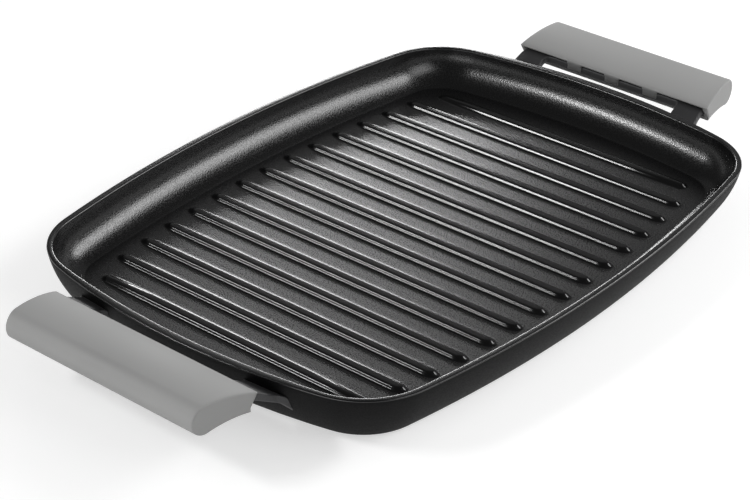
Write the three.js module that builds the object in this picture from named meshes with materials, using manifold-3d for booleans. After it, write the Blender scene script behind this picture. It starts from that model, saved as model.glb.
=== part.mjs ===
// Grill plate: a cast tray with raised ribs and a loop lug at each end, each lug in a slip-on silicone grip.
// Millimetres, +Z up. X runs from handle to handle, Y runs along the ribs, and the base stands on Z = 0.
import * as THREE from 'three';
import { mergeVertices } from 'three/addons/utils/BufferGeometryUtils.js';
import Module from 'manifold-3d';

const wasm = await Module();
wasm.setup();
const { degToRad } = THREE.MathUtils;

// Tray outline: two ends and two sides, each one wide arc, joined by round corners
const plateLength = 350;
const plateWidth = 252.4;
const endBowRadius = 346;
const sideBowRadius = 745;
const cornerRadius = 43;

// Inner edge of the rim, squarer than the outline, so that the rim is wider at the handle ends
const rimEndWidth = 5.3;
const rimSideWidth = 3.8;
const wellEndBowRadius = 430;
const wellSideBowRadius = 745;
const wellCornerRadius = 38;

// Edge of the flat cooking floor, where the concave wall starts
const coveEndRun = 15;
const coveSideRun = 15.7;
const floorEndBowRadius = 450;
const floorSideBowRadius = 920;
const floorCornerRadius = 24.5;

// Tray section, from the underside to the rim
const baseThickness = 8;
const wallHeight = 19.6;
const rimRise = 0.1;
const coveFloorAngle = degToRad(15);
const baseEdgeRadius = 8;
const baseEdgeSetback = 3.8;
const wallBowRadius = 60;

// Ribs on the cooking floor
const ribPitch = 19.25;
const ribHeight = 1.8;
const ribTopWidth = 5;
const ribBaseWidth = 6.6;
const ribEdgeRadius = 0.9;
const ribEndRamp = 4;
const ribTipGap = 6;
const ribTipBowRadius = 725;
const ribTipCornerRadius = 43;
const ribEndMargin = 12;
const ribRoot = 1;

// Loop lugs: two arms that slope up from the wall, and a broad crossbar that fills the grip
const lugReach = 37;
const lugThickness = 4.5;
const lugRise = 0.9;
const armRootDrop = 6.7;
const armKnee = 2.5;
const lugSpan = 120.6;
const armWidth = 15.3;
const crossbarSetback = 1;
const gripTaper = degToRad(8.3);
const lugCornerRadius = 8;
const loopCornerRadius = 3;
const armFillet = 3;
const gussetRun = 6;
const gussetDrop = 2;

// Grip sleeves: a closed nose outwards and a flared mouth towards the tray
const lipStandoff = 9;
const pocketClearance = 0.3;
const pocketEndPlay = 0.5;
const sleeveEndWall = 3;
const sleeveFloor = 2.2;
const noseWall = 7.3;
const noseRadius = 7.5;
const noseRise = 2.45;
const mouthLean = 3.7;
const mouthFlare = 1;
const mouthFlareDepth = 5;
const lipThickness = 0.8;
const scoopDepth = 1.2;
const sleeveEdgeRadius = 1.2;
const tabWidth = 9.4;
const tabPitch = 26;
const tabLength = 5;

// Fineness of the curved faces
const endSteps = 10;
const cornerSteps = 8;
const sideSteps = 14;
const arcSteps = 6;

// Sizes that follow
const rimHeight = baseThickness + wallHeight;
const rimEdgeHeight = rimHeight + rimRise;
const plateEnd = plateLength / 2;
const plateSide = plateWidth / 2;
const wellEnd = plateEnd - rimEndWidth;
const wellSide = plateSide - rimSideWidth;
const floorEnd = wellEnd - coveEndRun;
const floorSide = wellSide - coveSideRun;
const footInset = rimEndWidth + coveEndRun - baseEdgeSetback;
const lipX = plateEnd + lipStandoff;
const lugEnd = plateEnd + lugReach;
const lugTop = rimHeight + lugRise;
const lugBottom = lugTop - lugThickness;
const loopHalfWidth = lugSpan / 2 - armWidth;

// A closed triangle mesh as a solid that can be joined and cut
function solid(geometry) {
  const bare = geometry.index ? geometry.clone() : geometry;
  bare.deleteAttribute('normal');
  bare.deleteAttribute('uv');
  const merged = mergeVertices(bare, 1e-4);
  return new wasm.Manifold(new wasm.Mesh({
    numProp: 3,
    vertProperties: new Float32Array(merged.attributes.position.array),
    triVerts: new Uint32Array(merged.index.array),
  }));
}

// The solid's triangles back as a flat-shaded geometry
function geometryOf(body) {
  const mesh = body.getMesh();
  const geometry = new THREE.BufferGeometry();
  geometry.setAttribute('position', new THREE.BufferAttribute(new Float32Array(mesh.vertProperties), 3));
  geometry.setIndex(new THREE.BufferAttribute(new Uint32Array(mesh.triVerts), 1));
  const flat = geometry.toNonIndexed();
  flat.computeVertexNormals();
  return flat;
}

// Rings of points, all with the same number of points, joined side to side and closed at both ends
function loft(rings) {
  const count = rings[0].length;
  const points = rings.flat();
  const index = [];
  for (let ring = 0; ring < rings.length - 1; ring += 1) {
    for (let i = 0; i < count; i += 1) {
      const a = ring * count + i;
      const b = ring * count + ((i + 1) % count);
      index.push(a, b, b + count, a, b + count, a + count);
    }
  }
  const capStart = rings[0].map((point, i) => i).reverse();
  const capEnd = rings[0].map((point, i) => (rings.length - 1) * count + i);
  for (const cap of [capStart, capEnd]) {
    const flat = cap.map((i) => points[i]);
    const axes = capAxes(flat);
    const contour = flat.map((p) => new THREE.Vector2(p.dot(axes.u), p.dot(axes.v)));
    for (const [a, b, c] of THREE.ShapeUtils.triangulateShape(contour, [])) {
      index.push(cap[a], cap[b], cap[c]);
    }
  }
  const geometry = new THREE.BufferGeometry().setFromPoints(points);
  geometry.setIndex(index);
  return geometry;
}

// Two axes in the plane of a flat cap, so that its contour runs anticlockwise in them
function capAxes(flat) {
  const normal = new THREE.Vector3();
  flat.forEach((p, i) => {
    const q = flat[(i + 1) % flat.length];
    normal.add(new THREE.Vector3().crossVectors(p, q));
  });
  normal.normalize();
  const helper = Math.abs(normal.z) > 0.9 ? new THREE.Vector3(1, 0, 0) : new THREE.Vector3(0, 0, 1);
  const u = new THREE.Vector3().crossVectors(helper, normal).normalize();
  const v = new THREE.Vector3().crossVectors(normal, u);
  return { u, v };
}

// A bowed rounded rectangle: arcs about fixed centres, so that an inset only shortens the radii
function bowedOutline(halfLength, halfWidth, endRadius, sideRadius, corner) {
  const end = new THREE.Vector2(halfLength - endRadius, 0);
  const side = new THREE.Vector2(0, halfWidth - sideRadius);
  const toEnd = endRadius - corner;
  const toSide = sideRadius - corner;
  const apart = side.distanceTo(end);
  const along = (toEnd ** 2 - toSide ** 2 + apart ** 2) / (2 * apart);
  const across = Math.sqrt(toEnd ** 2 - along ** 2);
  const way = side.clone().sub(end).normalize();
  const square = new THREE.Vector2(-way.y, way.x);
  const knuckle = end.clone().addScaledVector(way, along).addScaledVector(square, across);
  const endAngle = knuckle.clone().sub(end).angle();
  const sideAngle = knuckle.clone().sub(side).angle();
  return { end, side, knuckle, endRadius, sideRadius, corner, endAngle, sideAngle };
}

// Samples of the outline with their outward normals, anticlockwise from the middle of the +X end
function samples(o) {
  const quarter = [];
  const arc = (centre, radius, from, to, steps, skipFirst) => {
    for (let i = skipFirst ? 1 : 0; i <= steps; i += 1) {
      quarter.push({ centre, radius, angle: from + ((to - from) * i) / steps });
    }
  };
  arc(o.end, o.endRadius, 0, o.endAngle, endSteps / 2, false);
  arc(o.knuckle, o.corner, o.endAngle, o.sideAngle, cornerSteps, true);
  arc(o.side, o.sideRadius, o.sideAngle, Math.PI / 2, sideSteps / 2, true);
  const place = ({ centre, radius, angle }) => {
    const normal = new THREE.Vector2(Math.cos(angle), Math.sin(angle));
    return { point: centre.clone().addScaledVector(normal, radius), normal };
  };
  const first = quarter.map(place);
  const turned = (list, sx, sy) => list.map(({ point, normal }) => ({
    point: new THREE.Vector2(sx * point.x, sy * point.y),
    normal: new THREE.Vector2(sx * normal.x, sy * normal.y),
  }));
  const inner = first.slice(1, -1);
  return [
    ...first,
    ...turned(inner, -1, 1).reverse(),
    ...turned(first, -1, -1),
    ...turned(inner, 1, -1).reverse(),
  ];
}

// Rings round an outline, from a profile of [inset, height] pairs
function carried(outline, profile) {
  return profile.map(([inset, height]) => outline.map(({ point, normal }) => new THREE.Vector3(
    point.x - inset * normal.x,
    point.y - inset * normal.y,
    height,
  )));
}

// Rings part of the way from one outline to another, from a profile of [share, height] pairs
function between(from, to, profile) {
  return profile.map(([share, height]) => from.map(({ point }, i) => {
    const p = point.clone().lerp(to[i].point, share);
    return new THREE.Vector3(p.x, p.y, height);
  }));
}

// Points on an arc from one angle to another, both ends included
function arcPoints(cx, cy, radius, from, to, steps) {
  return Array.from({ length: steps + 1 }, (unused, i) => {
    const angle = from + ((to - from) * i) / steps;
    return [cx + radius * Math.cos(angle), cy + radius * Math.sin(angle)];
  });
}

// Outside of the tray, filled in: round base edge, bowed wall, and the rim's slope carried on inwards
function trayHull(outline, wellEdge) {
  const foot = new THREE.Vector2(footInset, baseEdgeRadius);
  const edge = new THREE.Vector2(0, rimEdgeHeight);
  const reach = edge.distanceTo(foot);
  const toFoot = wallBowRadius - baseEdgeRadius;
  const along = (toFoot ** 2 - wallBowRadius ** 2 + reach ** 2) / (2 * reach);
  const across = Math.sqrt(toFoot ** 2 - along ** 2);
  const way = edge.clone().sub(foot).normalize();
  const square = new THREE.Vector2(way.y, -way.x);
  const bow = foot.clone().addScaledVector(way, along).addScaledVector(square, across);
  const joinAngle = foot.clone().sub(bow).angle();
  const edgeAngle = edge.clone().sub(bow).angle();
  const outside = [
    ...arcPoints(foot.x, foot.y, baseEdgeRadius, (3 * Math.PI) / 2, joinAngle, arcSteps),
    ...arcPoints(bow.x, bow.y, wallBowRadius, joinAngle, edgeAngle, arcSteps).slice(1),
  ];
  const rim = [[2, rimEdgeHeight - 2 * rimRise]];
  return loft([...carried(outline, outside), ...between(outline, wellEdge, rim)]);
}

// The cooking well: flat floor, a concave wall that meets it at a slight angle, and open above the rim
function trayWell(floorEdge, wellEdge) {
  const run = (coveEndRun + coveSideRun) / 2;
  const chord = Math.hypot(run, wallHeight);
  const halfTurn = Math.atan2(wallHeight, run) - coveFloorAngle;
  const radius = chord / (2 * Math.sin(halfTurn));
  const cx = -radius * Math.sin(coveFloorAngle);
  const cy = baseThickness + radius * Math.cos(coveFloorAngle);
  const start = coveFloorAngle - Math.PI / 2;
  const cove = arcPoints(cx, cy, radius, start, start + 2 * halfTurn, 2 * arcSteps);
  return loft(between(floorEdge, wellEdge, [
    ...cove.map(([out, height]) => [out / run, height]),
    [1, rimHeight + wallHeight],
  ]));
}

// One rib: a round-ended bar with sloping sides, ramped ends and eased top edges, sunk into the floor
function rib(x, halfLength) {
  const level = (halfWidth, height) => {
    const reach = halfLength - (ribEndRamp * height) / ribHeight;
    const points = [];
    for (const way of [1, -1]) {
      for (const [px, py] of arcPoints(0, reach - halfWidth, halfWidth, 0, Math.PI, arcSteps)) {
        points.push(new THREE.Vector3(x + way * px, way * py, baseThickness + height));
      }
    }
    return points;
  };
  const slope = (ribBaseWidth - ribTopWidth) / 2 / (ribHeight - ribEdgeRadius);
  const eased = [0, Math.PI / 4, Math.PI / 2].map((turn) => level(
    ribTopWidth / 2 - ribEdgeRadius * (1 - Math.cos(turn)),
    ribHeight - ribEdgeRadius * (1 - Math.sin(turn)),
  ));
  return loft([level(ribBaseWidth / 2 + slope * ribRoot, -ribRoot), ...eased]);
}

// How far a rib at this place along the tray reaches: a bowed outline a little inside the floor's edge
function ribReach(x) {
  const tipSide = floorSide - ribTipGap;
  const o = bowedOutline(floorEnd, tipSide, floorEndBowRadius, ribTipBowRadius, ribTipCornerRadius);
  const onCorner = Math.abs(x) > o.knuckle.x + o.corner * Math.cos(o.sideAngle);
  const centre = onCorner ? o.knuckle : o.side;
  const radius = onCorner ? o.corner : o.sideRadius;
  return centre.y + Math.sqrt(radius ** 2 - (Math.abs(x) - centre.x) ** 2);
}

// Half the lug's width at a distance along X: it narrows outwards at the grip's taper
function lugHalfSpan(x) {
  return lugSpan / 2 - (x - lipX) * Math.tan(gripTaper);
}

// Where the tray's end edge lies at a distance off the middle
function endEdge(y) {
  return plateEnd - endBowRadius + Math.sqrt(endBowRadius ** 2 - y ** 2);
}

// The +X lug: its plan, with the loop's hole, crossed with its side view
function lug() {
  const inside = floorEnd;
  const rootX = endEdge(lugHalfSpan(plateEnd));
  const filletX = rootX + armFillet;
  const rootY = lugHalfSpan(rootX) + armFillet;
  const cornerX = lugEnd - lugCornerRadius;
  const plan = new THREE.Shape();
  plan.moveTo(inside, -rootY);
  plan.lineTo(rootX, -rootY);
  plan.quadraticCurveTo(rootX, -lugHalfSpan(rootX), filletX, -lugHalfSpan(filletX));
  plan.lineTo(cornerX, -lugHalfSpan(cornerX));
  plan.quadraticCurveTo(lugEnd, -lugHalfSpan(lugEnd), lugEnd, lugCornerRadius - lugHalfSpan(lugEnd));
  plan.lineTo(lugEnd, lugHalfSpan(lugEnd) - lugCornerRadius);
  plan.quadraticCurveTo(lugEnd, lugHalfSpan(lugEnd), cornerX, lugHalfSpan(cornerX));
  plan.lineTo(filletX, lugHalfSpan(filletX));
  plan.quadraticCurveTo(rootX, lugHalfSpan(rootX), rootX, rootY);
  plan.lineTo(inside, rootY);

  const loopRootX = endEdge(loopHalfWidth);
  const loopEnd = lipX + crossbarSetback;
  const rootHalf = loopHalfWidth - armFillet;
  const endHalf = loopHalfWidth - loopCornerRadius;
  const hole = new THREE.Path();
  hole.moveTo(wellEnd - coveEndRun / 2, -rootHalf);
  hole.lineTo(loopRootX, -rootHalf);
  hole.quadraticCurveTo(loopRootX, -loopHalfWidth, loopRootX + armFillet, -loopHalfWidth);
  hole.lineTo(loopEnd - loopCornerRadius, -loopHalfWidth);
  hole.quadraticCurveTo(loopEnd, -loopHalfWidth, loopEnd, -endHalf);
  hole.lineTo(loopEnd, endHalf);
  hole.quadraticCurveTo(loopEnd, loopHalfWidth, loopEnd - loopCornerRadius, loopHalfWidth);
  hole.lineTo(loopRootX + armFillet, loopHalfWidth);
  hole.quadraticCurveTo(loopRootX, loopHalfWidth, loopRootX, rootHalf);
  hole.lineTo(wellEnd - coveEndRun / 2, rootHalf);
  plan.holes.push(hole);
  const plain = { bevelEnabled: false, curveSegments: arcSteps };
  const flat = new THREE.ExtrudeGeometry(plan, { ...plain, depth: rimHeight + lugTop });

  const rootTop = rimEdgeHeight - armRootDrop;
  const levelX = lipX - lugRise;
  const slope = (lugTop - rootTop) / (levelX - rootX);
  const topAt = (x) => lugTop - slope * (levelX - x);
  const bottomAt = (x) => topAt(x) - lugThickness;
  const kneeX = levelX - armKnee;
  const footX = rootX - gussetRun;
  const footZ = bottomAt(footX) - gussetDrop;
  const side = new THREE.Shape();
  side.moveTo(inside, topAt(inside));
  side.lineTo(kneeX, topAt(kneeX));
  side.quadraticCurveTo(levelX, lugTop, levelX + armKnee, lugTop);
  side.lineTo(lugEnd + lugReach, lugTop);
  side.lineTo(lugEnd + lugReach, lugBottom);
  side.lineTo(levelX + armKnee, lugBottom);
  side.quadraticCurveTo(levelX, lugBottom, kneeX, bottomAt(kneeX));
  side.lineTo(rootX, bottomAt(rootX));
  side.quadraticCurveTo(rootX - gussetRun / 2, bottomAt(rootX - gussetRun / 2), footX, footZ);
  side.lineTo(inside, footZ);
  const upright = new THREE.ExtrudeGeometry(side, { ...plain, depth: plateWidth });
  upright.rotateX(Math.PI / 2);
  upright.translate(0, plateSide, 0);
  return solid(flat).intersect(solid(upright));
}

// The casting: hull and lugs joined, the well cut out, the ribs added
function castPlate() {
  const edge = (...sizes) => samples(bowedOutline(...sizes));
  const outline = edge(plateEnd, plateSide, endBowRadius, sideBowRadius, cornerRadius);
  const wellEdge = edge(wellEnd, wellSide, wellEndBowRadius, wellSideBowRadius, wellCornerRadius);
  const floorEdge = edge(floorEnd, floorSide, floorEndBowRadius, floorSideBowRadius, floorCornerRadius);
  const rearLug = lug();
  const frontLug = rearLug.rotate([0, 0, 180]);
  const hull = solid(trayHull(outline, wellEdge));
  let body = hull.add(rearLug).add(frontLug).subtract(solid(trayWell(floorEdge, wellEdge)));
  const perSide = Math.floor((floorEnd - ribEndMargin) / ribPitch);
  for (let i = -perSide; i <= perSide; i += 1) {
    body = body.add(solid(rib(i * ribPitch, ribReach(i * ribPitch))));
  }
  return geometryOf(body);
}

// A bar along Y from a section of [x, z] pairs, its ends leaning with the taper and eased by the edge radius
function taperedBar(section, halfSpanAt, edge) {
  const points = section.map(([x, z]) => new THREE.Vector2(x, z));
  const inward = points.map((p, i) => {
    const before = points[(i + points.length - 1) % points.length];
    const after = points[(i + 1) % points.length];
    const tangent = after.clone().sub(before).normalize();
    return new THREE.Vector2(-tangent.y, tangent.x);
  });
  const ring = (way, inset, back) => points.map((p, i) => {
    const q = p.clone().addScaledVector(inward[i], inset);
    return new THREE.Vector3(q.x, way * (halfSpanAt(q.x) - back), q.y);
  });
  const turns = edge > 0 ? [0, Math.PI / 4, Math.PI / 2] : [0];
  const eased = (way) => turns.map((t) => ring(way, edge * (1 - Math.sin(t)), edge * (1 - Math.cos(t))));
  return loft([...eased(1), ...eased(-1).reverse()]);
}

// The +X grip sleeve: crowned top, round nose, shallow finger scoop below, and a pocket for the lug
function gripSleeve() {
  const halfSpan = (x) => lugHalfSpan(x) + pocketClearance + sleeveEndWall;
  const pocketTop = lugTop + pocketClearance;
  const pocketFloor = lugBottom - pocketClearance;
  const pocketEnd = lugEnd + pocketEndPlay;
  const lipTop = pocketTop + mouthFlare + lipThickness;
  const sill = pocketFloor - sleeveFloor;
  const noseX = pocketEnd + noseWall - noseRadius;
  const noseZ = (lugTop + lugBottom) / 2 + noseRise;
  const crownRise = noseZ + noseRadius - lipTop;
  const crownRun = noseX - lipX;
  const crownRadius = (crownRun ** 2 + crownRise ** 2) / (2 * crownRise);
  const crownTurn = Math.asin(crownRun / crownRadius);
  const sillX = lipX + mouthLean;
  const scoop = Array.from({ length: arcSteps }, (unused, i) => {
    const t = (i + 1) / arcSteps;
    const straight = THREE.MathUtils.lerp(noseZ - noseRadius, sill, t);
    return [THREE.MathUtils.lerp(noseX, sillX, t), straight + scoopDepth * 4 * t * (1 - t)];
  });
  const up = Math.PI / 2;
  const section = [
    ...arcPoints(noseX, noseZ + noseRadius - crownRadius, crownRadius, up + crownTurn, up, arcSteps),
    ...arcPoints(noseX, noseZ, noseRadius, up, -up, 2 * arcSteps).slice(1),
    ...scoop,
  ];
  const outside = solid(taperedBar(section.reverse(), halfSpan, sleeveEdgeRadius));

  const pocketSpan = (x) => lugHalfSpan(x) + pocketClearance;
  const outsideX = lipX - mouthFlareDepth;
  const pocket = solid(taperedBar([
    [outsideX, pocketFloor],
    [pocketEnd, pocketFloor],
    [pocketEnd, pocketTop],
    [outsideX, pocketTop],
  ], pocketSpan, 0));
  let flare = solid(taperedBar([
    [outsideX, pocketFloor],
    [lipX + mouthFlareDepth, pocketFloor],
    [lipX + mouthFlareDepth, pocketTop],
    [lipX, pocketTop + mouthFlare],
    [outsideX, pocketTop + mouthFlare],
  ], pocketSpan, 0));
  for (const step of [-1, 0, 1]) {
    const tab = new THREE.BoxGeometry(tabLength, tabWidth, mouthFlare + lipThickness);
    tab.translate(lipX + tabLength / 2, step * tabPitch, pocketTop + (mouthFlare + lipThickness) / 2);
    flare = flare.subtract(solid(tab));
  }
  return geometryOf(outside.subtract(pocket).subtract(flare));
}

const coating = new THREE.MeshStandardMaterial({ color: 0x2a2a2b, roughness: 0.42, metalness: 0.1 });
const silicone = new THREE.MeshStandardMaterial({ color: 0x9d9d9c, roughness: 0.75, metalness: 0 });

function named(name, geometry, material) {
  const mesh = new THREE.Mesh(geometry, material);
  mesh.name = name;
  return mesh;
}

const grillPlate = new THREE.Group();
grillPlate.add(named('grill_plate', castPlate(), coating));
const sleeve = gripSleeve();
for (const [name, turn] of [['rear_grip_sleeve', 0], ['front_grip_sleeve', Math.PI]]) {
  const handle = new THREE.Group();
  handle.rotation.z = turn;
  handle.add(named(name, sleeve, silicone));
  grillPlate.add(handle);
}

export default grillPlate;
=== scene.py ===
import math

import bpy
import numpy as np
from mathutils import Matrix, Vector


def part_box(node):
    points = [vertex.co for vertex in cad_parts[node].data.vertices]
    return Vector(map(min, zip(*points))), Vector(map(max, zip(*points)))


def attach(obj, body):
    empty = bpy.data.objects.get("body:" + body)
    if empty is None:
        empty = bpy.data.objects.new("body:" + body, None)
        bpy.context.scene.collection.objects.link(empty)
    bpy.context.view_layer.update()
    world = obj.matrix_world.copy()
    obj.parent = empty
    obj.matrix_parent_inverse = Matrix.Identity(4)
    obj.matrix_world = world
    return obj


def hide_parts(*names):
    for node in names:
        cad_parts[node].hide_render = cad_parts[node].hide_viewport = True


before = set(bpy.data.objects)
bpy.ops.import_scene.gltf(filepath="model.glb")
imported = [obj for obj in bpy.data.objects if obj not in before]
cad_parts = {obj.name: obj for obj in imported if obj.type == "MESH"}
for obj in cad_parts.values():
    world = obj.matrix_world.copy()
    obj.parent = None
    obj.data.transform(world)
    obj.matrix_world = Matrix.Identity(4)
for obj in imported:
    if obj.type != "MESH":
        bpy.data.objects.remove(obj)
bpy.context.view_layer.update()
mm = 0.001

# The tray
# One aluminium casting under a black non-stick coating: a flat floor with raised ribs, a hollow wall, a
# flat rim and a round-edged base. Its mesh is a grid for the floor and rings for the rest.
plate_end = 175 * mm
plate_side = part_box("grill_plate")[1].y
plate_end_bow = 346 * mm
plate_side_bow = 745 * mm
plate_corner = 43 * mm
rim_end_width = 5.3 * mm
rim_side_width = 3.8 * mm
rim_height = 27.6 * mm
rim_edge_height = 27.7 * mm
rim_inner_round = 0.9 * mm
rim_outer_round = 0.7 * mm
well_end = plate_end - rim_end_width
well_side = plate_side - rim_side_width
well_end_bow = 430 * mm
well_corner = 38 * mm
cove_end_run = 15 * mm
cove_side_run = 15.7 * mm
cove_run = (cove_end_run + cove_side_run) / 2
cove_floor_angle = math.radians(15)
floor_end = well_end - cove_end_run
floor_side = well_side - cove_side_run
floor_end_bow = 450 * mm
floor_side_bow = 920 * mm
floor_corner = 24.5 * mm
floor_height = 8 * mm
base_edge_inset = 16.5 * mm
base_edge_radius = 8 * mm
wall_bow_radius = 60 * mm
rib_pitch = 19.25 * mm
ribs_each_side = 7
rib_crest = 1.85 * mm
rib_half_width = 3.0 * mm
rib_crown = 0.07
rib_steepness = 9.5
rib_foot = 1.2
rib_tip_gap = 6 * mm
rib_tip_side_bow = 725 * mm
rib_tip_corner = 43 * mm
rib_tip_stretch = 1.8


def circles_cross(first, first_radius, second, second_radius):
    """Where two circles cross, on the left of the line from the first centre to the second.

    The line through both crossings cuts it at (r1^2 - r2^2 + d^2) / 2d from the first centre.
    """
    apart = np.linalg.norm(second - first)
    way = (second - first) / apart
    along = (first_radius**2 - second_radius**2 + apart**2) / (2 * apart)
    across = math.sqrt(first_radius**2 - along**2)
    return first + along * way + across * np.array([-way[1], way[0]])


def angle_of(arrow):
    """The angle of a flat vector, anticlockwise from its first axis."""
    return math.atan2(arrow[1], arrow[0])


def bowed_outline(half_length, half_width, end_radius, side_radius, corner_radius):
    """Centres, radii and turning angles of a quarter outline's three arcs: end, corner and side.

    The corner's centre lies a corner radius inside the end's arc and the side's arc alike, so that each
    arc runs smoothly into the next.
    """
    end = np.array([half_length - end_radius, 0.0])
    side = np.array([0.0, half_width - side_radius])
    corner = circles_cross(end, end_radius - corner_radius, side, side_radius - corner_radius)
    centres = np.array([end, corner, side])
    radii = np.array([end_radius, corner_radius, side_radius])
    turns = np.array([0, angle_of(corner - end), angle_of(corner - side), math.pi / 2])
    return centres, radii, turns


def on_outline(outline, arc, share, inset=0.0):
    """Points of the quarter outline, each a share of the way along its arc, moved inwards by the inset.

    Each is its arc's centre plus the radius, less the inset, along the angle at that share.
    """
    centres, radii, turns = outline
    angle = turns[arc] + (turns[arc + 1] - turns[arc]) * share
    normal = np.stack([np.cos(angle), np.sin(angle)], -1)
    return centres[arc] + (radii[arc] - inset)[..., None] * normal


def outline_stations(outline, x):
    """The arc, and the share along it, at which the outline passes a distance x from the middle.

    It is on the corner's arc past the join of corner and side, and on the side's before it. The angle
    there has (x - centre) / radius as its cosine.
    """
    centres, radii, turns = outline
    join = centres[1, 0] + radii[1] * math.cos(turns[2])
    arc = np.where(x > join, 1, 2)
    angle = np.arccos((x - centres[arc, 0]) / radii[arc])
    return arc, (angle - turns[arc]) / (turns[arc + 1] - turns[arc])


rim_outline = bowed_outline(plate_end, plate_side, plate_end_bow, plate_side_bow, plate_corner)
well_outline = bowed_outline(well_end, well_side, well_end_bow, plate_side_bow, well_corner)
floor_outline = bowed_outline(floor_end, floor_side, floor_end_bow, floor_side_bow, floor_corner)
tip_side = floor_side - rib_tip_gap
tip_outline = bowed_outline(floor_end, tip_side, floor_end_bow, rib_tip_side_bow, rib_tip_corner)


def rib_rise(x, y):
    """Height of the ribs above the floor: the crest over (1 + crown q^2) (1 + q^steepness).

    q is the distance from the nearest rib's middle line in rib half widths, drawn out lengthwise past
    the rib's straight run, which stops a foot short of the tips' outline. So a rib has a slightly
    crowned top, round edges and eased roots.
    """
    nearest = np.clip(np.round(x / rib_pitch), -ribs_each_side, ribs_each_side) * rib_pitch
    reach = on_outline(tip_outline, *outline_stations(tip_outline, np.abs(nearest)))[..., 1]
    straight = reach - rib_foot * rib_tip_stretch * rib_half_width
    past_end = np.maximum(np.abs(y) - straight, 0) / rib_tip_stretch
    q = np.hypot(x - nearest, past_end) / rib_half_width
    return rib_crest / ((1 + rib_crown * q**2) * (1 + q**rib_steepness))


# Columns of the floor grid stand close together across each rib, and fan out to the bowed end past the
# last one. Its rows stand close together along the ribs' tips.
edge_steps = [0.2, 0.4, 0.55, 0.67, 0.76, 0.84, 0.9, 0.95, 1, 1.05, 1.1, 1.17, 1.28, 1.45, 1.75, 2.4]
across_rib = rib_half_width * np.array([0, *edge_steps])
rib_places = rib_pitch * np.arange(ribs_each_side + 1)
column_x = np.concatenate([rib_places[:, None] + side * across_rib for side in (1, -1)], axis=1).ravel()
last_straight = rib_places[-1] + across_rib[-2]
column_x = np.unique(np.round(column_x[(column_x >= 0) & (column_x <= last_straight)], 6))
arc, share = outline_stations(floor_outline, column_x)
fan_count = 16
fan = np.arange(1, fan_count + 1) / fan_count
arc = np.concatenate([arc, np.ones(fan_count, int)])
share = np.concatenate([share, share[-1] * (1 - fan)])
tip_zone = 17 * mm
tip_row_step = 0.6 * mm
middle_row_count = 5
tip_rows = np.arange(0, tip_zone, tip_row_step)
middle_rows = np.linspace(tip_rows[-1], floor_side, middle_row_count + 1)[1:]
row = 1 - np.concatenate([tip_rows, middle_rows]) / floor_side
row = np.concatenate([-row, row[-2::-1]])

side_edge = on_outline(floor_outline, arc, share)
straight_count = len(column_x)
grid = np.zeros((len(row), len(arc), 2))
grid[:, :straight_count, 0] = column_x
grid[:, :straight_count, 1] = row[:, None] * side_edge[:straight_count, 1]
row_side = np.stack([np.ones(len(row)), np.sign(row)], -1)
end_arc = on_outline(floor_outline, np.zeros(len(row), int), np.abs(row)) * row_side
from_last = grid[:, straight_count - 1]
blend_fan = from_last[:, None] * (1 - fan)[:, None] + end_arc[:, None] * fan[:, None]
corner_edge = side_edge[straight_count:]
upper_shift = corner_edge - blend_fan[-1]
lower_shift = corner_edge * (1, -1) - blend_fan[0]
upper_part = ((1 + row) / 2)[:, None, None]
grid[:, straight_count:] = blend_fan + upper_part * upper_shift + (1 - upper_part) * lower_shift
grid = np.concatenate([grid[:, :0:-1] * (-1, 1), grid], axis=1)
row_count, column_count = grid.shape[:2]
grid_z = floor_height + rib_rise(grid[..., 0], grid[..., 1])
floor_points = np.concatenate([grid, grid_z[..., None]], -1)

# Every ring round the tray starts at the lower left corner of the floor grid and runs anticlockwise
# along its edge.
column_arc = np.concatenate([arc[:0:-1], arc])
column_share = np.concatenate([share[:0:-1], share])
column_way = np.sign(np.arange(column_count) - column_count // 2)
row_way = np.sign(row[1:-1])
end_rows = np.zeros(row_count - 2, int)
ring_arc = np.concatenate([column_arc, end_rows, column_arc[::-1], end_rows])
ring_share = np.concatenate([column_share, np.abs(row[1:-1]), column_share[::-1], np.abs(row[-2:0:-1])])
right = np.ones(row_count - 2)
sides = np.ones(column_count)
ring_x = np.concatenate([column_way, right, column_way[::-1], -right])
ring_y = np.concatenate([-sides, row_way, sides, row_way[::-1]])
ring_way = np.stack([ring_x, ring_y], -1)


def tray_ring(outline, inset=0.0):
    """The outline's points opposite those of the floor's edge, all round the tray."""
    return on_outline(outline, ring_arc, ring_share, inset) * ring_way


def arc_between(centre, radius, start, stop, count):
    """Points of an arc in a section's plane: its centre plus its radius at even angles, start to stop."""
    angle = np.linspace(start, stop, count)
    return np.stack([centre[0] + radius * np.cos(angle), centre[1] + radius * np.sin(angle)], -1)


cove_rise = rim_height - floor_height
half_turn = math.atan2(cove_rise, cove_run) - cove_floor_angle
cove_radius = math.hypot(cove_run, cove_rise) / (2 * math.sin(half_turn))
cove_start = cove_floor_angle - math.pi / 2
cove_way = np.array([math.cos(cove_start), math.sin(cove_start)])
cove_centre = np.array([0, floor_height]) - cove_radius * cove_way
cove = arc_between(cove_centre, cove_radius, cove_start, cove_start + 2 * half_turn, count=19)[1:-1]
floor_ring = tray_ring(floor_outline)
well_ring = tray_ring(well_outline)
rings = [(floor_ring + (well_ring - floor_ring) * out / cove_run, height) for out, height in cove]

eased = np.radians([0, 20, 40, 55, 70, 90])
for turn in eased:
    inset = -rim_inner_round * (1 - math.cos(turn))
    rings.append((tray_ring(well_outline, inset), rim_height - rim_inner_round * (1 - math.sin(turn))))
for turn in eased[::-1]:
    inset = rim_outer_round * (1 - math.cos(turn))
    rings.append((tray_ring(rim_outline, inset), rim_edge_height - rim_outer_round * (1 - math.sin(turn))))

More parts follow.
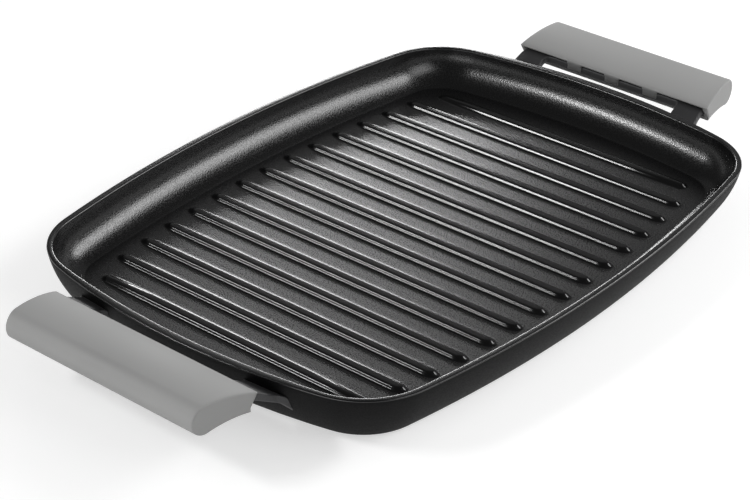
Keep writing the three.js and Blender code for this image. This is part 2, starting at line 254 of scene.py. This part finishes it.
foot = np.array([base_edge_inset, base_edge_radius])
edge = np.array([0, rim_edge_height - rim_outer_round])
bow_centre = circles_cross(edge, wall_bow_radius, foot, wall_bow_radius - base_edge_radius)
edge_turn = angle_of(edge - bow_centre) % math.tau
join_turn = angle_of(foot - bow_centre) % math.tau
outside = np.concatenate([
    arc_between(bow_centre, wall_bow_radius, edge_turn, join_turn, count=10)[1:],
    arc_between(foot, base_edge_radius, join_turn, 1.5 * math.pi, count=9)[1:],
])
rings += [(tray_ring(rim_outline, inset), height) for inset, height in outside]


def strips(ring_indices):
    """Quads between each ring of indices and the next, every ring closed on itself."""
    ahead = np.roll(ring_indices, -1, axis=1)
    return np.stack([ring_indices[:-1], ring_indices[1:], ahead[1:], ahead[:-1]], -1).reshape(-1, 4)


index = np.arange(row_count * column_count).reshape(row_count, column_count)
floor_quads = np.stack([index[:-1, :-1], index[:-1, 1:], index[1:, 1:], index[1:, :-1]], -1).reshape(-1, 4)
edge_ring = np.concatenate([index[0], index[1:-1, -1], index[-1, ::-1], index[-2:0:-1, 0]])
ring_size = len(edge_ring)
ring_indices = index.size + np.arange(len(rings) * ring_size).reshape(len(rings), ring_size)
ring_points = [np.column_stack([points, np.full(ring_size, height)]) for points, height in rings]
tray_vertices = np.concatenate([floor_points.reshape(-1, 3), *ring_points])
tray_quads = np.concatenate([floor_quads, strips(np.vstack([edge_ring, ring_indices]))])
base_cap = ring_indices[-1, ::-1]

# The loop lugs
# Two sloping arms and a broad crossbar at each short end, cast in one with the tray. Each lug is a rounded
# bar whose inner and outer edges are drawn separately, with its ends sunk in the wall.
lug_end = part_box("grill_plate")[1].x
lug_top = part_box("grill_plate")[1].z
lug_thickness = 4.5 * mm
lip_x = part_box("rear_grip_sleeve")[0].x
lug_half_span = 60.3 * mm
grip_taper = math.tan(math.radians(8.3))
loop_half_width = 45 * mm
crossbar_x = lip_x + 1 * mm
lug_corner = 8 * mm
loop_corner = 3 * mm
lug_edge_round = 0.9 * mm
arm_fillet = 2.5 * mm
arm_root_x = 169.5 * mm
arm_root_top = rim_edge_height - 6.7 * mm
arm_level_x = lip_x - 0.9 * mm
arm_knee = 2.5 * mm
gusset_run = 6 * mm
gusset_drop = 2 * mm
gusset_limit = 1.5
arm_top_depth = 5 * mm
arm_bottom_depth = 10.5 * mm


def end_edge(y):
    """Where the rim's edge lies at the tray's end: its arc's centre plus the root of radius^2 - y^2."""
    radius = rim_outline[1][0]
    return rim_outline[0][0, 0] + np.sqrt(radius**2 - y**2)


def wall_inset(z):
    """How far the outer wall lies inside the rim's edge at a height z, read off the wall's section."""
    return np.interp(z, outside[::-1, 1], outside[::-1, 0])


def bezier(start, knee, stop, t):
    """Curve from start to stop: they and the knee weighted by (1 - t)^2, t^2 and 2 t (1 - t)."""
    return start * (1 - t)**2 + 2 * knee * t * (1 - t) + stop * t**2


def shares(steps):
    """A column of even shares of a way, from the end of its first step to the whole."""
    return np.linspace(0, 1, steps + 1)[1:, None]


def lug_heights(x):
    """Top and bottom of the lug along X: a straight slope, an eased knee and a level grip.

    The knee is a parabola, level at its outer end. The bottom drops below the slope with the square of
    the way into the wall, as a gusset.
    """
    slope = (lug_top - arm_root_top) / (arm_level_x - arm_root_x)
    t = np.clip((x - arm_level_x + arm_knee) / (2 * arm_knee), 0, 1)
    short = np.maximum(arm_level_x - arm_knee - x, 0)
    top = lug_top - slope * (arm_knee * (1 - t)**2 + short)
    gusset = np.clip((arm_root_x - x) / gusset_run, 0, gusset_limit)
    return top, top - lug_thickness - gusset_drop * gusset**2


def outer_half_span(x):
    """Half the lug's width at x: that at the lip, less the grip's taper times the way out from it."""
    return lug_half_span - (x - lip_x) * grip_taper


def lug_shell():
    """Vertices, quads and end caps of the lug at the +X end: a rounded rectangle carried along its loop.

    Each station pairs a point of the inner edge with one of the outer edge. Both run out along the arm
    together, then the inner edge turns along the crossbar's near side while the outer edge rounds the
    far corner. The other half is the same, mirrored.
    """
    arm_steps = 19
    turn_steps = 8
    bar_steps = 17
    run_steps = 8
    arm_stop = crossbar_x - loop_corner
    inner_start = np.array([arm_stop, loop_half_width])
    inner_knee = np.array([crossbar_x, loop_half_width])
    inner_stop = inner_knee - (0, loop_corner)
    inner = np.concatenate([
        bezier(inner_start, inner_knee, inner_stop, shares(turn_steps)),
        inner_stop * (1, 0) + inner_stop * (0, 1) * (1 - shares(bar_steps)),
    ])
    corner_x = lug_end - lug_corner
    corner_start = np.array([corner_x, outer_half_span(corner_x)])
    corner_knee = np.array([lug_end, outer_half_span(lug_end)])
    corner_stop = corner_knee - (0, lug_corner)
    run_start = np.array([arm_stop, outer_half_span(arm_stop)])
    outer = np.concatenate([
        run_start + (corner_start - run_start) * shares(run_steps),
        bezier(corner_start, corner_knee, corner_stop, shares(turn_steps)),
        corner_stop * (1, 0) + corner_stop * (0, 1) * (1 - shares(bar_steps - run_steps)),
    ])

    corner_turn = np.radians([0, 30, 60, 90])
    ease = (1 - np.cos(corner_turn)) * lug_edge_round
    lift = (1 - np.sin(corner_turn)) * lug_edge_round
    across = np.concatenate([ease, -ease[::-1], -ease, ease[::-1]])
    drop = np.concatenate([lift, lift[::-1], lift, lift[::-1]])
    on_outer = np.repeat([False, True, True, False], len(corner_turn))
    on_top = np.repeat([True, True, False, False], len(corner_turn))

    side_y = np.where(on_outer, outer_half_span(arm_root_x), loop_half_width)
    start_x = end_edge(side_y) - np.where(on_top, arm_top_depth, arm_bottom_depth)
    arm_x = start_x + (arm_stop - start_x) * np.linspace(0, 1, arm_steps + 1)[:, None]
    top, bottom = lug_heights(arm_x)
    arm_z = np.where(on_top, top - drop, bottom + drop)
    from_wall = arm_x - end_edge(side_y) + wall_inset(arm_z)
    flare = arm_fillet * np.clip(1 - from_wall / arm_fillet, 0, 1)**2
    arm_y = np.where(on_outer, outer_half_span(arm_x) + flare, loop_half_width - flare) + across
    arm = np.stack([arm_x, arm_y, arm_z], -1)

    way = (outer - inner) / np.linalg.norm(outer - inner, axis=1)[:, None]
    bar_edge = np.where(on_outer[:, None], outer[:, None], inner[:, None])
    bar_plan = bar_edge + across[:, None] * way[:, None]
    top, bottom = lug_heights(bar_plan[..., 0])
    bar_z = np.where(on_top, top - drop, bottom + drop)
    half = np.concatenate([arm, np.concatenate([bar_plan, bar_z[..., None]], -1)])
    points = np.concatenate([half, half[-2::-1] * (1, -1, 1)])
    indices = np.arange(points.shape[0] * points.shape[1]).reshape(points.shape[:2])
    return points.reshape(-1, 3), strips(indices), [indices[0], indices[-1, ::-1]]


def outward_mesh(name, vertices, quads, caps):
    """A mesh object of smooth quads and flat caps, its faces turned outwards, linked to the scene.

    All are flipped where the volume that they enclose, a sum of triple products, comes out negative.
    """
    mesh = bpy.data.meshes.new(name)
    mesh.from_pydata(vertices.tolist(), [], quads.tolist() + [cap.tolist() for cap in caps])
    triangles = np.zeros(len(mesh.loop_triangles) * 3, int)
    mesh.loop_triangles.foreach_get("vertices", triangles)
    corners = vertices[triangles.reshape(-1, 3)]
    volume = np.einsum("ij,ij->i", corners[:, 0], np.cross(corners[:, 1], corners[:, 2])).sum()
    if volume < 0:
        mesh.flip_normals()
    mesh.polygons.foreach_set("use_smooth", np.arange(len(mesh.polygons)) < len(quads))
    mesh.update()
    piece = bpy.data.objects.new(name, mesh)
    bpy.context.scene.collection.objects.link(piece)
    return piece


lug_vertices, lug_quads, lug_caps = lug_shell()
rear_start = len(tray_vertices)
front_start = rear_start + len(lug_vertices)
casting_vertices = np.concatenate([tray_vertices, lug_vertices, lug_vertices * (-1, -1, 1)])
casting_quads = np.concatenate([tray_quads, lug_quads + rear_start, lug_quads + front_start])
casting_caps = [base_cap] + [cap + start for start in (rear_start, front_start) for cap in lug_caps]
casting = outward_mesh("grill_plate_casting", casting_vertices, casting_quads, casting_caps)


def fine_grain_group():
    """Shader group on object coordinates, for a number of grains per metre.

    It puts out the grain's height from a noise, a mask of specks from the middles of Voronoi cells, and
    a slow drift from a coarse noise.
    """
    group = bpy.data.node_groups.new("fine_grain", "ShaderNodeTree")
    group.interface.new_socket("Grains per metre", in_out="INPUT", socket_type="NodeSocketFloat")
    for output in ("Height", "Specks", "Drift"):
        group.interface.new_socket(output, in_out="OUTPUT", socket_type="NodeSocketFloat")
    nodes = group.nodes
    links = group.links
    entry = nodes.new("NodeGroupInput")
    leave = nodes.new("NodeGroupOutput")
    place = nodes.new("ShaderNodeTexCoord")
    grain = nodes.new("ShaderNodeTexNoise")
    grain.inputs["Detail"].default_value = 0
    speck = nodes.new("ShaderNodeTexVoronoi")
    limit = nodes.new("ShaderNodeMapRange")
    limit.inputs["From Min"].default_value = 0.32
    limit.inputs["From Max"].default_value = 0.12
    drift = nodes.new("ShaderNodeTexNoise")
    drift.inputs["Scale"].default_value = 22
    drift.inputs["Detail"].default_value = 2
    for texture in (grain, speck, drift):
        links.new(place.outputs["Object"], texture.inputs["Vector"])
    for texture in (grain, speck):
        links.new(entry.outputs["Grains per metre"], texture.inputs["Scale"])
    links.new(speck.outputs["Distance"], limit.inputs["Value"])
    links.new(grain.outputs["Fac"], leave.inputs["Height"])
    links.new(limit.outputs["Result"], leave.inputs["Specks"])
    links.new(drift.outputs["Fac"], leave.inputs["Drift"])
    return group


fine_grain = fine_grain_group()


def grained_finish(name, ior, grains, bump_strength, grain_depth, tone, colours, gloss, roughness):
    """A material with the fine grain as its bump, between two colours and between two roughnesses.

    Tone and gloss name the grain group's outputs that lead from one colour or roughness to the other,
    the roughness over the middle of the output's range.
    """
    material = bpy.data.materials.new(name)
    material.use_nodes = True
    nodes = material.node_tree.nodes
    links = material.node_tree.links
    shader = nodes["Principled BSDF"]
    shader.inputs["IOR"].default_value = ior
    grain = nodes.new("ShaderNodeGroup")
    grain.node_tree = fine_grain
    grain.inputs["Grains per metre"].default_value = grains
    tint = nodes.new("ShaderNodeMix")
    tint.data_type = "RGBA"
    tint.inputs["A"].default_value = colours[0]
    tint.inputs["B"].default_value = colours[1]
    links.new(grain.outputs[tone], tint.inputs["Factor"])
    links.new(tint.outputs["Result"], shader.inputs["Base Color"])
    spread = nodes.new("ShaderNodeMapRange")
    spread.inputs["From Min"].default_value = 0.3
    spread.inputs["From Max"].default_value = 0.7
    spread.inputs["To Min"].default_value = roughness[0]
    spread.inputs["To Max"].default_value = roughness[1]
    links.new(grain.outputs[gloss], spread.inputs["Value"])
    links.new(spread.outputs["Result"], shader.inputs["Roughness"])
    bump = nodes.new("ShaderNodeBump")
    bump.inputs["Strength"].default_value = bump_strength
    bump.inputs["Distance"].default_value = grain_depth
    links.new(grain.outputs["Height"], bump.inputs["Height"])
    links.new(bump.outputs["Normal"], shader.inputs["Normal"])
    return material


def non_stick_coating(name, dark, speck, smooth, dull, grains, grain_depth, specular=0.5):
    """Black sprayed coating: paler specks in a dark ground, and a grain, smooth below and dull on top.

    The specular level is a half for a plain surface of the coating's IOR, and less where it mirrors less.
    """
    coat = grained_finish(
        name,
        ior=1.6,
        grains=grains,
        bump_strength=0.6,
        grain_depth=grain_depth,
        tone="Specks",
        colours=((dark, dark, 1.05 * dark, 1), (speck, speck, 1.03 * speck, 1)),
        gloss="Height",
        roughness=(smooth, dull),
    )
    coat.node_tree.nodes["Principled BSDF"].inputs["Specular IOR Level"].default_value = specular
    return coat


# The coating lies grained on the floor and in the cove, and nearly smooth on the ribs and the rim, which
# includes the top of the cove. The outer wall and the lugs are duller, and the lugs' ground and specks are
# painted paler, as painted light for the grey light that their arms catch. The numbers are the ground's
# and the specks' brightness, the two roughnesses, grains per metre, the grain's depth and the specular
# level.
floor_coat = non_stick_coating("black_non_stick", 0.004, 0.012, 0.23, 0.37, 1500, 0.06 * mm)
rib_coat = non_stick_coating("black_non_stick_ribs", 0.004, 0.008, 0.16, 0.19, 2000, 0.01 * mm, 0.34)
cove_coat = non_stick_coating("black_non_stick_cove", 0.004, 0.012, 0.19, 0.33, 1250, 0.085 * mm)
rim_coat = non_stick_coating("black_non_stick_rim", 0.004, 0.012, 0.22, 0.26, 2000, 0.008 * mm)
wall_coat = non_stick_coating("black_outer_wall", 0.004, 0.009, 0.56, 0.68, 1600, 0.06 * mm, 0.08)
# Painted light: the lugs get a paler copy of the black coating, standing in for the light falling on their
# arms.
lug_painted_light_coat = non_stick_coating("black_lugs_painted_light", 0.03, 0.04, 0.5, 0.6, 2000, 0.05 * mm)
coats = [floor_coat, rib_coat, cove_coat, rim_coat, wall_coat, lug_painted_light_coat]
for coat in coats:
    casting.data.materials.append(coat)
rib_root_height = 0.1 * mm
on_rib = floor_points[..., 2].ravel()[floor_quads].max(axis=1) > floor_height + rib_root_height
smooth_strips = 3

# After the floor, the faces follow in the order of the mesh: the tray's rings from the cove outwards, the
# lugs, and then the caps of the base and of the lugs' ends.
cove_quads = (len(cove) + 1 - smooth_strips) * ring_size
wall_quads = len(outside) * ring_size
rim_quads = len(tray_quads) - len(floor_quads) - cove_quads - wall_quads
coat_runs = [
    (cove_coat, cove_quads),
    (rim_coat, rim_quads),
    (wall_coat, wall_quads),
    (lug_painted_light_coat, 2 * len(lug_quads)),
    (wall_coat, 1),
    (lug_painted_light_coat, 2 * len(lug_caps)),
]
run_slots = [coats.index(coat) for coat, count in coat_runs]
run_counts = [count for coat, count in coat_runs]
floor_slots = np.where(on_rib, coats.index(rib_coat), coats.index(floor_coat))
coat_of_face = np.concatenate([floor_slots, np.repeat(run_slots, run_counts)])
casting.data.polygons.foreach_set("material_index", coat_of_face)
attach(casting, "plate")
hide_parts("grill_plate")

# The grip sleeves
# Grey silicone caps moulded as one closed pocket each and pushed over the lugs: a crowned top, a round
# nose, a shallow finger scoop below, and a flared mouth with three tabs that hook inside the loop.
sleeve_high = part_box("rear_grip_sleeve")[1]
nose_radius = 7.5 * mm
nose_x = sleeve_high.x - nose_radius
crown_z = sleeve_high.z
nose_z = crown_z - nose_radius
lip_z = 30.6 * mm
lip_thickness = 0.8 * mm
lip_round = 0.35 * mm
sill_x = lip_x + 3.7 * mm
sill_z = 21.5 * mm
scoop_depth = 1.2 * mm
pocket_clearance = 0.3 * mm
pocket_end = lug_end + 0.5 * mm
pocket_floor = lug_top - lug_thickness - pocket_clearance
pocket_roof = lug_top + pocket_clearance
sleeve_end_wall = 3 * mm
sleeve_end_round = 0.7 * mm
pocket_side_step = 0.1 * mm
flare_depth = 5 * mm
tab_half_width = 4.7 * mm
tab_side_slant = 0.15 * mm
tab_pitch = 25.7 * mm
tongue_z = lug_top + 0.45 * mm
tab_front = lip_x + 0.65 * mm
tab_back = crossbar_x - 0.05 * mm
tab_root = lug_top + 0.2 * mm
tab_foot = lug_top - 3.3 * mm


def sleeve_sections():
    """The sleeve's section in X and Z, as a closed outside, as an open pocket, and as a pocket with a tab.

    The outside is a crown, an arc from the lip to level over the nose, then a half circle for the nose and
    a straight line lifted by a parabola, 4 t (1 - t), for the scoop. The rest lies on the mouth's plane,
    round the pocket, or round the pocket and down the tab, with as many points each way, so that a ring
    can change from one to another along the sleeve.
    """
    crown_rise = crown_z - lip_z
    crown_run = nose_x - lip_x
    crown_radius = (crown_run**2 + crown_rise**2) / (2 * crown_rise)
    crown_turn = math.asin(crown_run / crown_radius)
    up = math.pi / 2
    crown = arc_between((nose_x, crown_z - crown_radius), crown_radius, up + crown_turn, up, count=12)
    nose = arc_between((nose_x, nose_z), nose_radius, up, -up, count=25)[1:]
    scoop_steps = 11
    t = shares(scoop_steps)
    nose_foot = nose_z - nose_radius
    scoop_z = nose_foot + (sill_z - nose_foot) * t + scoop_depth * 4 * t * (1 - t)
    scoop = np.hstack([nose_x + (sill_x - nose_x) * t, scoop_z])
    lip_centre = (lip_x + lip_round, lip_z - lip_round)
    lip_edge = arc_between(lip_centre, lip_round, math.pi, up + crown_turn / 2, count=4)[:-1]
    skin = np.concatenate([lip_edge, crown[1:], nose, scoop])
    jaw = np.array([sill_x, pocket_floor])
    heel = np.array([pocket_end, pocket_floor])
    lip_under = np.array([lip_x, lip_z - lip_thickness])
    flare = np.array([lip_x + flare_depth, pocket_roof])
    flare_t = np.linspace(0, 1, 5)[:, None]
    pocket = np.concatenate([
        [jaw, (jaw + heel) / 2, heel, (pocket_end, pocket_roof), (lip_x + 2 * flare_depth, pocket_roof)],
        flare + (lip_under - flare) * flare_t,
    ])
    tab = pocket.copy()
    tab[-len(flare_t):] = [
        (tab_back, pocket_roof),
        (tab_back, tab_foot),
        (tab_front, tab_foot),
        (tab_front, tab_root),
        (lip_x, tongue_z),
    ]
    mouth_t = np.linspace(0, 1, len(pocket))[:, None]
    closed = jaw + (lip_under - jaw) * mouth_t
    return tuple(np.concatenate([skin, rest]) for rest in (closed, pocket, tab))


def pocket_half_span(x):
    """Half the pocket's width, a clearance more than half the lug's."""
    return outer_half_span(x) + pocket_clearance


def sleeve_shell():
    """Vertices, quads and end caps of the +X sleeve: its section carried along Y between leaning ends.

    Each end wall is eased by a quarter round, and the closed section turns into the pocket inside it.
    """
    closed, pocket, tab = sleeve_sections()
    tangent = np.roll(closed, -1, axis=0) - np.roll(closed, 1, axis=0)
    tangent /= np.linalg.norm(tangent, axis=1)[:, None]
    inward = np.stack([tangent[:, 1], -tangent[:, 0]], -1)

    hoops = []
    for turn in np.radians([0, 22.5, 45, 67.5, 90]):
        section = closed + inward * sleeve_end_round * (1 - math.sin(turn))
        end_y = pocket_half_span(section[:, 0]) + sleeve_end_wall
        end_y -= sleeve_end_round * (1 - math.cos(turn))
        hoops.append(np.column_stack([section[:, 0], end_y, section[:, 1]]))
    inner_y = pocket_half_span(closed[:, 0]) + pocket_side_step
    hoops.append(np.column_stack([closed[:, 0], inner_y, closed[:, 1]]))

    mouth_half_span = pocket_half_span(lip_x)
    tab_edges = tab_half_width + tab_side_slant * np.array([-1, 1])
    tab_places = tab_pitch * np.array([0, 1])
    stations = np.concatenate([
        np.linspace(0, mouth_half_span, 24),
        (tab_places[:, None] + tab_edges).ravel(),
        (tab_places[1:, None] - tab_edges).ravel(),
    ])
    for station in np.unique(np.round(stations, 6))[::-1]:
        on_tab = np.abs(station - tab_places).min() < tab_half_width
        section = tab if on_tab else pocket
        y = pocket_half_span(section[:, 0]) * station / mouth_half_span
        hoops.append(np.column_stack([section[:, 0], y, section[:, 1]]))
    half = np.array(hoops)
    points = np.concatenate([half, half[-2::-1] * (1, -1, 1)])
    indices = np.arange(points.shape[0] * points.shape[1]).reshape(points.shape[:2])
    return points.reshape(-1, 3), strips(indices), [indices[0], indices[-1, ::-1]]


# Matte silicone in mid grey, with a faint mould grain and a slow change of tone and gloss.
silicone = grained_finish(
    "grey_silicone",
    ior=1.41,
    grains=2600,
    bump_strength=0.2,
    grain_depth=0.03 * mm,
    tone="Drift",
    colours=((0.325, 0.325, 0.322, 1), (0.365, 0.365, 0.362, 1)),
    gloss="Drift",
    roughness=(0.55, 0.62),
)
sleeve_vertices, sleeve_quads, sleeve_caps = sleeve_shell()
for side, way in (("rear", 1), ("front", -1)):
    sleeve = outward_mesh(f"{side}_grip", sleeve_vertices * (way, way, 1), sleeve_quads, sleeve_caps)
    sleeve.data.materials.append(silicone)
    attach(sleeve, f"{side}_sleeve")
    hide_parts(f"{side}_grip_sleeve")

# The studio
# A pale floor that keeps the plate's shadow, a white background, and six soft boxes whose reflections
# draw the bands on the coating: two on the right, one on the left, two behind and a low one in front.
floor_reach = 4.0
floor_level = -0.1 * mm
floor_grey = 0.64
floor_lift = 0.55
floor_corners = floor_reach * np.array([(-1, -1), (1, -1), (1, 1), (-1, 1)])
floor_mesh = bpy.data.meshes.new("studio_floor")
floor_mesh.from_pydata([(x, y, floor_level) for x, y in floor_corners], [], [(0, 1, 2, 3)])
studio_floor = bpy.data.objects.new("studio_floor", floor_mesh)
bpy.context.scene.collection.objects.link(studio_floor)


def seen_directly(nodes, links):
    """One where a ray comes from the camera or from a mirroring or clear surface, and zero otherwise."""
    path = nodes.new("ShaderNodeLightPath")
    total = path.outputs["Is Camera Ray"]
    for kind in ("Is Glossy Ray", "Is Transmission Ray"):
        either = nodes.new("ShaderNodeMath")
        either.operation = "MAXIMUM"
        links.new(total, either.inputs[0])
        links.new(path.outputs[kind], either.inputs[1])
        total = either.outputs["Value"]
    return total


floor_material = bpy.data.materials.new("pale_floor")
floor_material.use_nodes = True
nodes = floor_material.node_tree.nodes
links = floor_material.node_tree.links
paint = nodes["Principled BSDF"]
paint.inputs["Base Color"].default_value = (floor_grey, floor_grey, floor_grey, 1)
paint.inputs["Roughness"].default_value = 1
paint.inputs["Specular IOR Level"].default_value = 0
lift = nodes.new("ShaderNodeMath")
lift.operation = "MULTIPLY"
lift.inputs[1].default_value = floor_lift
links.new(seen_directly(nodes, links), lift.inputs[0])
paint.inputs["Emission Color"].default_value = (1, 1, 1, 1)
links.new(lift.outputs["Value"], paint.inputs["Emission Strength"])
floor_mesh.materials.append(floor_material)

# Seen directly, the room is white at the horizon and fades to a dark ceiling. Its diffuse light is even.
room_light = 0.15
horizon_strength = 1
ceiling_strength = 0.08
horizon_height = 0.03
ceiling_height = 0.22
scene = bpy.context.scene
scene.view_settings.view_transform = "Standard"
world = bpy.data.worlds.new("studio")
scene.world = world
world.use_nodes = True
nodes = world.node_tree.nodes
links = world.node_tree.links
room = nodes["Background"]
place = nodes.new("ShaderNodeTexCoord")
split = nodes.new("ShaderNodeSeparateXYZ")
links.new(place.outputs["Generated"], split.inputs["Vector"])
fade = nodes.new("ShaderNodeMapRange")
fade.inputs["From Min"].default_value = horizon_height
fade.inputs["From Max"].default_value = ceiling_height
fade.inputs["To Min"].default_value = horizon_strength
fade.inputs["To Max"].default_value = ceiling_strength
links.new(split.outputs["Z"], fade.inputs["Value"])
shade = nodes.new("ShaderNodeMix")
shade.data_type = "FLOAT"
shade.inputs["A"].default_value = room_light
links.new(fade.outputs["Result"], shade.inputs["B"])
links.new(seen_directly(nodes, links), shade.inputs["Factor"])
links.new(shade.outputs["Result"], room.inputs["Strength"])
room.inputs["Color"].default_value = (1, 1, 1, 1)


def bearing(azimuth, elevation):
    """Unit vector at an azimuth from +X and an elevation, both in degrees."""
    around = math.radians(azimuth)
    climb = math.radians(elevation)
    level = math.cos(climb)
    return Vector((level * math.cos(around), level * math.sin(around), math.sin(climb)))


def soft_box(name, azimuth, elevation, distance, width, height, power):
    """A rectangular lamp of some watts at a bearing and a distance from the plate's middle, facing it."""
    away = bearing(azimuth, elevation)
    lamp = bpy.data.lights.new(name, "AREA")
    lamp.shape = "RECTANGLE"
    lamp.size = width
    lamp.size_y = height
    lamp.energy = power
    holder = bpy.data.objects.new(name, lamp)
    holder.location = away * distance
    holder.rotation_euler = away.to_track_quat("Z", "Y").to_euler()
    holder.visible_camera = False
    scene.collection.objects.link(holder)


# The numbers are azimuth and elevation in degrees, distance, width and height in metres, and watts.
soft_box("right_box", -31, 33, 1.15, 0.75, 0.36, 6.2)
soft_box("right_wing", -84, 38, 0.85, 0.6, 0.4, 2.0)
soft_box("left_box", 138, 37, 1.6, 0.42, 0.14, 8.2)
soft_box("back_box", 41.5, 17, 1.15, 0.36, 0.16, 2.9)
soft_box("back_fill", 34, 30, 1.2, 0.9, 0.6, 0.2)
soft_box("front_box", -176, 4, 0.6, 0.5, 0.2, 0.85)

# The camera
# It stands where the photograph was taken from: off the corner between the front handle and the near
# long side, 30 degrees up, with a long lens and a slight roll.
camera_azimuth = -141.216
camera_elevation = 30.33
camera_roll = math.radians(1.35)
camera_distance = 1091.5 * mm
camera_target = Vector((-1.89, 19.6, -10.4)) * mm
lens = bpy.data.cameras.new("photo_camera")
lens.sensor_width = 36
lens.lens = 100.18
camera = bpy.data.objects.new("photo_camera", lens)
scene.collection.objects.link(camera)
back = bearing(camera_azimuth, camera_elevation)
level_right = Vector((0, 0, 1)).cross(back).normalized()
level_up = back.cross(level_right)
camera_right = math.cos(camera_roll) * level_right + math.sin(camera_roll) * level_up
camera_up = math.cos(camera_roll) * level_up - math.sin(camera_roll) * level_right
camera_turn = Matrix((camera_right, camera_up, back)).transposed().to_4x4()
camera.matrix_world = Matrix.Translation(camera_target + back * camera_distance) @ camera_turn
scene.camera = camera
